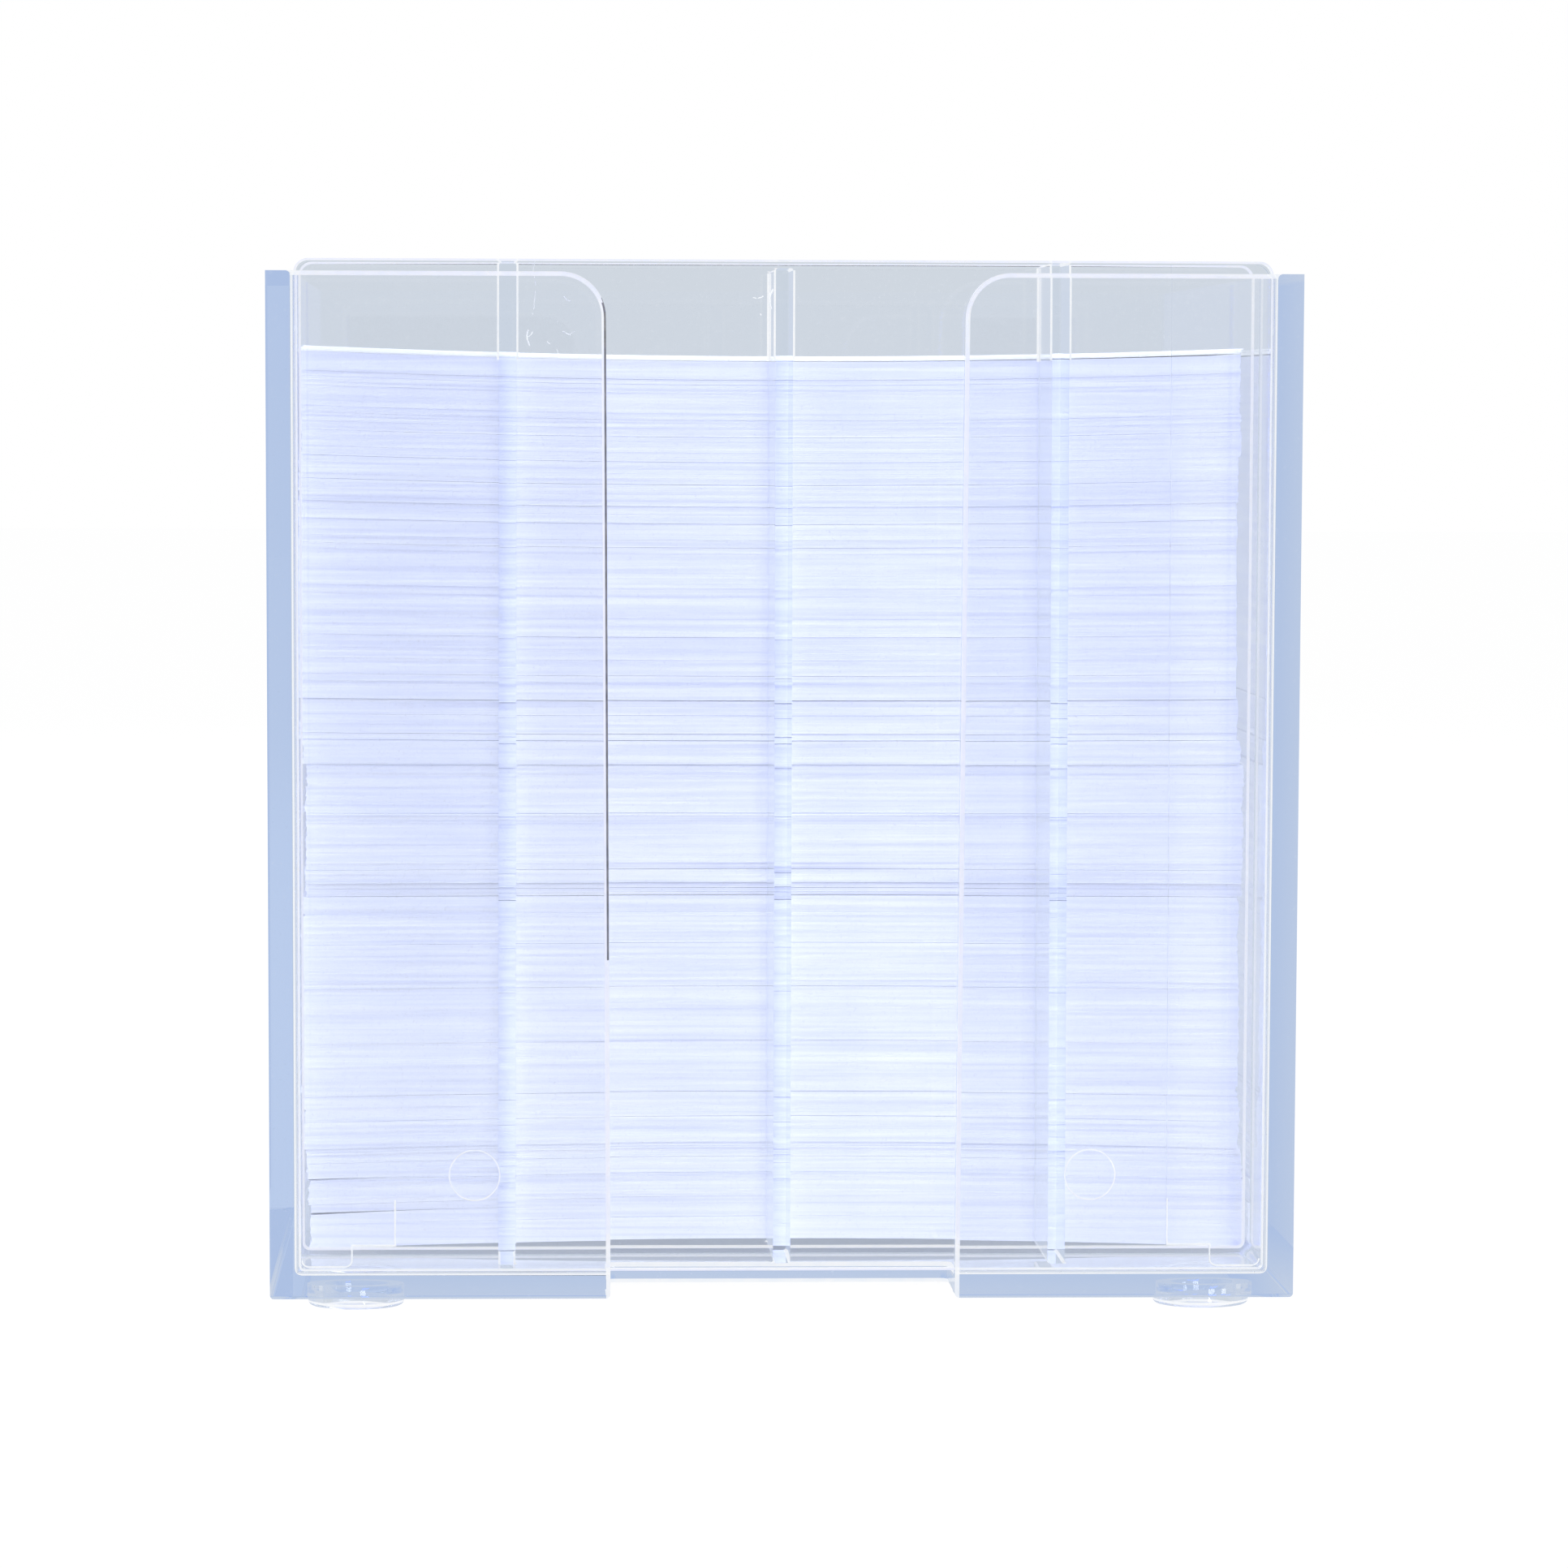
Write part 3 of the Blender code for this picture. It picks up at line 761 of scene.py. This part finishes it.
def make_feet(materials):
    """Four clear rings, turned, with round lower edges. Each is rooted in the floor, where it is bonded."""
    for end in ("front", "rear"):
        for side in ("left", "right"):
            node = f"foot_{end}_{side}"
            low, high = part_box(node)
            outer = (high.x - low.x) / 2
            inner = outer - FOOT_WALL
            round_z = low.z + FOOT_ROUNDING
            root_z = BASE_Z + FOOT_ROOT
            profile = [(outer, root_z)]
            profile += arc((outer - FOOT_ROUNDING, round_z), FOOT_ROUNDING, 0, -90, FOOT_CORNER_STEPS)
            profile += arc((inner + FOOT_ROUNDING, round_z), FOOT_ROUNDING, -90, -180, FOOT_CORNER_STEPS)
            profile.append((inner, root_z))
            shape = bmesh.new()
            corners = [shape.verts.new((radius, 0.0, height)) for radius, height in profile]
            edges = [shape.edges.new(pair) for pair in zip(corners, corners[1:] + corners[:1])]
            bmesh.ops.spin(shape, geom=corners + edges, cent=(0.0, 0.0, 0.0), axis=(0.0, 0.0, 1.0),
                           angle=math.tau, steps=FOOT_STEPS)
            bmesh.ops.remove_doubles(shape, verts=shape.verts, dist=SPIN_MERGE_REACH)
            bmesh.ops.recalc_face_normals(shape, faces=shape.faces)
            mesh = bpy.data.meshes.new(f"ring_foot_{end}_{side}")
            shape.to_mesh(mesh)
            shape.free()
            for face in mesh.polygons:
                # The lower rounding takes the edge material's painted highlight
                face.material_index = int(FOOT_GLOW_SLANT[0] < -face.normal.z < FOOT_GLOW_SLANT[1])
            mesh.shade_smooth()
            mesh.set_sharp_from_angle(angle=CORNER_ANGLE)
            foot = link_mesh(f"ring_foot_{end}_{side}", mesh)
            foot.location = ((low.x + high.x) / 2, (low.y + high.y) / 2, 0.0)
            dress(foot, materials, "box", "clear_box", node)


# Pen holder insert

def insert_half_width(height):
    """How far the insert reaches to each side at a height."""
    return INNER_BASE_WIDTH / 2 + lean_at(height) - TOUCH_GAP


def insert_outline():
    """A panel of the insert: full width, round at the top corners and at the feet."""
    top, foot = PLATE_TOP_RADIUS, PLATE_FOOT_RADIUS
    right = arc((insert_half_width(insert_low.z) - foot, insert_low.z + foot), foot, -90, 0)
    right += arc((insert_half_width(RIM_Z) - top, insert_high.z - top), top, 0, 90)
    return right + mirrored(right)


def pad_foot():
    """The points round the foot of a right side pad, and the inner and outer ends of its step."""
    radius = PLATE_FOOT_RADIUS
    base_z = insert_low.z + PAD_INSET
    base_x = insert_half_width(insert_low.z) - PAD_INSET
    step_x = base_x - PAD_FOOT_WIDTH
    points = arc((step_x + radius, base_z + radius), radius, 180, 270)
    points += arc((base_x - radius, base_z + radius), radius, -90, 0)
    step_z = base_z + PAD_STEP_HEIGHT
    return points, (base_x - PAD_WIDTH, step_z), (step_x, step_z)


def pad_outline(side):
    """A raised strip along one side of the front plate, stepped up beside its foot."""
    points, inner_step, outer_step = pad_foot()
    top_x = insert_half_width(RIM_Z) - PAD_INSET
    top_z = insert_high.z - PAD_INSET
    points += arc((top_x - PLATE_TOP_RADIUS, top_z - PLATE_TOP_RADIUS), PLATE_TOP_RADIUS, 0, 90)
    points += [(inner_step[0], top_z), inner_step, outer_step]
    return points if side > 0 else mirrored(points)


def direction(start, end):
    """A unit vector from one point of an outline to another."""
    return (Vector(end) - Vector(start)).normalized()


def pad_highlight_line(side, y):
    """The painted white highlight line round the foot of a side pad: its outline there, as a thin strip."""
    foot, inner_step, outer_step = pad_foot()
    path = [(inner_step[0], inner_step[1] + PAD_LINE_HEIGHT), inner_step, outer_step] + foot
    ways = [direction(start, end) for start, end in zip(path, path[1:])]
    inner = []
    for point, before, after in zip(path, ways[:1] + ways, ways + ways[-1:]):
        across = Vector((-before.y - after.y, before.x + after.x)).normalized()
        reach = PAD_LINE_WIDTH / across.dot(Vector((-before.y, before.x)))
        inner.append((point[0] + across.x * reach, point[1] + across.y * reach))
    outline = path + inner[::-1]
    return prism("pad_highlight_line", outline if side > 0 else mirrored(outline), y, LINE_GAP * 2)


def add_lines(thing, lines):
    """Add thin closed strips to a piece, in its second material, where they show as painted highlight
    lines.
    """
    shape = bmesh.new()
    shape.from_mesh(thing.data)
    for line in lines:
        for face in line.data.polygons:
            face.material_index = 1
        shape.from_mesh(line.data)
        bpy.data.objects.remove(line)
    shape.to_mesh(thing.data)
    shape.free()


def fin_highlight_lines(front_y, back_y):
    """Fine bars of painted highlight in the corners beside each fin, above the paper, where its rounding
    shows white.
    """
    lines = []
    for place, drop in FINS:
        for side in (-1, 1):
            inner_x = place * FIN_PITCH + side * (FIN_THICKNESS / 2 + LINE_GAP)
            outer_x = inner_x + side * FIN_LINE_WIDTH
            low_x, high_x = min(inner_x, outer_x), max(inner_x, outer_x)
            top_z = insert_high.z - drop - POLISH_RADIUS
            corners = [(low_x, FIN_LINE_BASE), (high_x, FIN_LINE_BASE), (high_x, top_z), (low_x, top_z)]
            for start_y in (front_y + LINE_GAP, back_y - FIN_LINE_WIDTH - LINE_GAP):
                lines.append(prism("fin_line", corners, start_y, FIN_LINE_WIDTH))
    return lines


def make_insert(materials):
    """The pen holder: a front plate, a partition, three fins between them, side pads and painted white
    highlight lines.
    """
    plate_y = insert_low.y
    partition_y = insert_high.y - PANEL_THICKNESS
    plate = prism("pen_holder", insert_outline(), plate_y, PANEL_THICKNESS)
    combine(plate, prism("partition", insert_outline(), partition_y, PANEL_THICKNESS), "UNION")
    fin_y = plate_y + PANEL_THICKNESS / 2
    fin_length = partition_y - plate_y
    for place, drop in FINS:
        low_x = place * FIN_PITCH - FIN_THICKNESS / 2
        high_x = low_x + FIN_THICKNESS
        low_z, high_z = insert_low.z + FIN_FOOT_RISE, insert_high.z - drop
        corners = [(low_x, low_z), (high_x, low_z), (high_x, high_z), (low_x, high_z)]
        combine(plate, prism("fin", corners, fin_y, fin_length), "UNION")
    polish(plate, materials, POLISH_RADIUS, segments=2, wanted=is_corner)
    for side in (-1, 1):
        pad = prism("side_pad", pad_outline(side), fin_y, PANEL_THICKNESS / 2 + PAD_THICKNESS)
        combine(plate, pad, "UNION")
    heal(plate.data)
    lines = fin_highlight_lines(plate_y + PANEL_THICKNESS, partition_y)
    pad_face_y = plate_y + PANEL_THICKNESS + PAD_THICKNESS
    lines += [pad_highlight_line(side, pad_face_y + LINE_GAP) for side in (-1, 1)]
    add_lines(plate, lines)
    shade(plate.data)
    dress(plate, materials, "pen_holder", "clear_insert", "pen_holder_insert")


# Paper

def lift_spans(node):
    """A lift's middle line, and the heights of its base and top at the ends and in the middle."""
    points = [corner.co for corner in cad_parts[node].data.vertices]
    left = min(point.x for point in points)
    right = max(point.x for point in points)
    centre = (left + right) / 2
    near = (right - left) * LIFT_END_SHARE
    ends = [point.z for point in points if abs(point.x - left) < near]
    middle = [point.z for point in points if abs(point.x - centre) < near]
    return centre, (min(ends), max(ends)), (min(middle), max(middle))


def smooth_bump(distance, reach):
    """1 at no distance, falling smoothly to 0 at the reach."""
    near = max(0.0, 1.0 - abs(distance) / reach)
    return near * near * (3 - 2 * near)


class SheetPile:
    """Collects thin closed sheets into one mesh."""

    def __init__(self):
        self.corners = []
        self.faces = []
        self.lit_top = []

    def add(self, centre, low, high, front_y, back_y, half_width, left_slit=0.0, right_slit=0.0, lit_top=0):
        """One sheet. low and high are heights at (ends, middle). A slit thins one end from above."""
        first = len(self.corners)
        first_face = len(self.faces)
        for step in range(SHEET_STEPS + 1):
            share = 2 * step / SHEET_STEPS - 1
            x = centre + half_width * share
            middle = 1 - share * share
            base_z = low[0] + (low[1] - low[0]) * middle
            top_z = high[0] + (high[1] - high[0]) * middle
            from_left = half_width * (1 + share)
            from_right = half_width * (1 - share)
            top_z -= left_slit * math.exp(-from_left / SLIT_REACH)
            top_z -= right_slit * math.exp(-from_right / CURL_REACH)
            dent = smooth_bump(x, DENT_WIDTH) * smooth_bump(base_z - DENT_HEIGHT, DENT_SPREAD)
            near_y = front_y + DENT_DEPTH * dent
            self.corners += [(x, near_y, base_z), (x, near_y, top_z)]
            self.corners += [(x, back_y, top_z), (x, back_y, base_z)]
        for step in range(SHEET_STEPS):
            here = first + 4 * step
            for side in range(4):
                after = (side + 1) % 4
                self.faces.append((here + side, here + after, here + 4 + after, here + 4 + side))
        last = first + 4 * SHEET_STEPS
        self.faces.append((first + 3, first + 2, first + 1, first))
        self.faces.append((last, last + 1, last + 2, last + 3))
        self.lit_top += [lit_top] * (len(self.faces) - first_face)

    def finish(self, name, materials, body, node):
        """Make the piece, with all its faces outwards."""
        mesh = bpy.data.meshes.new(name)
        mesh.from_pydata(self.corners, [], self.faces)
        mesh.polygons.foreach_set("material_index", self.lit_top)
        mesh.update()
        shape = bmesh.new()
        shape.from_mesh(mesh)
        bmesh.ops.recalc_face_normals(shape, faces=shape.faces)
        shape.to_mesh(mesh)
        shape.free()
        pile = link_mesh(name, mesh)
        dress(pile, materials, body, "note_paper", node)


def make_lift(number, materials):
    """One lift of the stack as its single sheets, each a little out of line."""
    node = f"memo_lift_{number:02d}"
    chance = random.Random(number)
    centre, ends, middle = lift_spans(node)
    box_low, box_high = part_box(node)
    half_width = (box_high.x - box_low.x) / 2
    top_ends, top_middle = ends[1] + TOUCH_GAP, middle[1] + TOUCH_GAP
    height = top_ends - ends[0]
    pile = SheetPile()
    front_shift = LIFT_FRONT_SHIFTS[number - 1]
    wander_x, wander_y = 0.0, 0.0
    done = 0.0
    while done < height:
        thickness = chance.uniform(SHEET_THIN, SHEET_THICK)
        low_share = done / height
        high_share = min(1.0, (done + thickness) / height)
        if height - done - thickness < SHEET_THIN:
            high_share = 1.0
        wander_x = SIDE_MEMORY * wander_x + chance.gauss(0.0, SIDE_WANDER)
        wander_y = FRONT_MEMORY * wander_y + chance.gauss(0.0, FRONT_WANDER)
        slit = WIDE_SLIT * chance.random() if chance.random() < WIDE_SLIT_CHANCE else SHEET_SLIT
        if high_share == 1.0:
            slit = LIFT_TOP_SLITS[number - 1]
        low = (ends[0] + (top_ends - ends[0]) * low_share, middle[0] + (top_middle - middle[0]) * low_share)
        high = (ends[0] + (top_ends - ends[0]) * high_share - slit / 2,
                middle[0] + (top_middle - middle[0]) * high_share - slit)
        front = box_low.y + front_shift + wander_y
        left_slit, right_slit, lit_top = 0.0, 0.0, 0
        if number in EDGE_SLIT_LIFTS and chance.random() < EDGE_SLIT_CHANCE:
            left_slit = min(EDGE_SLIT, thickness * SLIT_SHARE)
        # The topmost sheets take the lighter copy of the paper, a painted highlight
        if number == LIFT_COUNT and height * (1 - high_share) < LIT_TOP_HEIGHT:
            lit_top = 1
        elif number == LIFT_COUNT and height * (1 - high_share) < LIT_TOP_HEIGHT + thickness:
            right_slit = min(CURL_SLIT, thickness * SLIT_SHARE)
        room = INNER_BASE_WIDTH / 2 + lean_at(low[0]) - half_width - TOUCH_GAP / 4
        place = max(-room, min(room, centre * STACK_LEAN + wander_x))
        pile.add(place, low, high, front, box_high.y + wander_y, half_width, left_slit, right_slit, lit_top)
        done = high_share * height
    pile.finish(f"note_sheets_{number:02d}", materials, "memo_stack", node)


def make_top_sheet(materials):
    """The loose sheet on the stack, all in the lighter copy of the paper with its painted highlight."""
    low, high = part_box("top_sheet")
    centre, ends, middle = lift_spans("top_sheet")
    pile = SheetPile()
    pile.add(centre, (ends[0], middle[0]), (ends[1], middle[1]), low.y, high.y, (high.x - low.x) / 2)
    pile.finish("loose_top_sheet", materials, "top_sheet", "top_sheet")


def make_paper():
    """The whole stack and its top sheet."""
    cut_edges, lit_top = note_paper(), lit_top_paper()
    for number in range(1, LIFT_COUNT + 1):
        make_lift(number, [cut_edges, lit_top])
    make_top_sheet([lit_top])


# Studio

def seen_backdrop(tree):
    """White to the camera and grey in and through the plastic, with 1 for rays that only see it."""
    light_path = tree.nodes.new("ShaderNodeLightPath")
    camera, glossy = light_path.outputs["Is Camera Ray"], light_path.outputs["Is Glossy Ray"]
    through = light_path.outputs["Is Transmission Ray"]
    mirrored_once = math_node(tree, "GREATER_THAN", light_path.outputs["Glossy Depth"], AT_LEAST_ONE)
    colour = mix_colour(tree, mirrored_once, BACKDROP_THROUGH_PLASTIC, MIRRORED_BACKDROP)
    colour = mix_colour(tree, camera, colour, WHITE)
    seen = math_node(tree, "MAXIMUM", camera, math_node(tree, "MAXIMUM", glossy, through))
    lit_by_it = math_node(tree, "GREATER_THAN", light_path.outputs["Diffuse Depth"], AT_LEAST_ONE)
    return colour, math_node(tree, "SUBTRACT", seen, math_node(tree, "MULTIPLY", seen, lit_by_it))


def make_world():
    """A soft dome of light, seen as the backdrop."""
    world = bpy.data.worlds.new("studio")
    bpy.context.scene.world = world
    world.use_nodes = True
    tree = world.node_tree
    background = tree.nodes["Background"]
    colour, seen = seen_backdrop(tree)
    tree.links.new(mix_colour(tree, seen, DOME_LIGHT, colour), background.inputs["Color"])


def make_floor():
    """A wide white floor that keeps the object's shadow."""
    mesh = bpy.data.meshes.new("floor")
    shape = bmesh.new()
    bmesh.ops.create_grid(shape, x_segments=1, y_segments=1, size=FLOOR_REACH)
    shape.to_mesh(mesh)
    shape.free()
    floor = link_mesh("floor", mesh)
    material, tree, output = new_material("floor")
    diffuse = tree.nodes.new("ShaderNodeBsdfDiffuse")
    diffuse.inputs["Color"].default_value = (*FLOOR_COLOUR, 1.0)
    glow = tree.nodes.new("ShaderNodeEmission")
    colour, seen = seen_backdrop(tree)
    tree.links.new(colour, glow.inputs["Color"])
    glow.inputs["Strength"].default_value = FLOOR_GLOW
    mix = tree.nodes.new("ShaderNodeMixShader")
    tree.links.new(math_node(tree, "MULTIPLY", seen, 1.0 - FLOOR_SHADOW_SHARE), mix.inputs["Fac"])
    tree.links.new(diffuse.outputs["BSDF"], mix.inputs[1])
    tree.links.new(glow.outputs["Emission"], mix.inputs[2])
    tree.links.new(mix.outputs["Shader"], output.inputs["Surface"])
    mesh.materials.append(material)


def make_lamps():
    """The softboxes."""
    for name, place, size, power in LAMPS:
        lamp = bpy.data.lights.new(name, "AREA")
        lamp.shape = "RECTANGLE"
        lamp.size, lamp.size_y = size
        lamp.energy = power
        thing = bpy.data.objects.new(name, lamp)
        bpy.context.scene.collection.objects.link(thing)
        thing.location = place
        thing.rotation_euler = (Vector(LAMP_AIM) - Vector(place)).to_track_quat("-Z", "Y").to_euler()


def make_camera():
    """The camera of the photograph, turned by its yaw, pitch and roll."""
    data = bpy.data.cameras.new("camera")
    data.lens = CAMERA_LENS
    data.sensor_width = CAMERA_SENSOR
    data.clip_start = CAMERA_NEAREST
    camera = bpy.data.objects.new("camera", data)
    bpy.context.scene.collection.objects.link(camera)
    turn = Matrix.Rotation(-CAMERA_YAW, 4, "Z") @ Matrix.Rotation(math.radians(90) - CAMERA_PITCH, 4, "X")
    camera.matrix_world = Matrix.Translation(CAMERA_PLACE) @ turn @ Matrix.Rotation(CAMERA_ROLL, 4, "Z")
    bpy.context.scene.camera = camera


make_camera()
box_plastic = clear_plastic("clear_box_plastic")
box_edges = painted_highlight_edge("box_edges")
make_box([box_plastic, box_edges, painted_highlight_edge("gap_edge", DARK_EDGE_BASE)])
make_feet([box_plastic, box_edges])
insert_plastic = clear_plastic("clear_insert_plastic", SCUFF_PLACES, painted_fin_shade=True)
make_insert([insert_plastic, painted_highlight_edge("insert_edges")])
make_paper()
make_world()
make_floor()
make_lamps()
bpy.context.scene.view_settings.view_transform = "Standard"
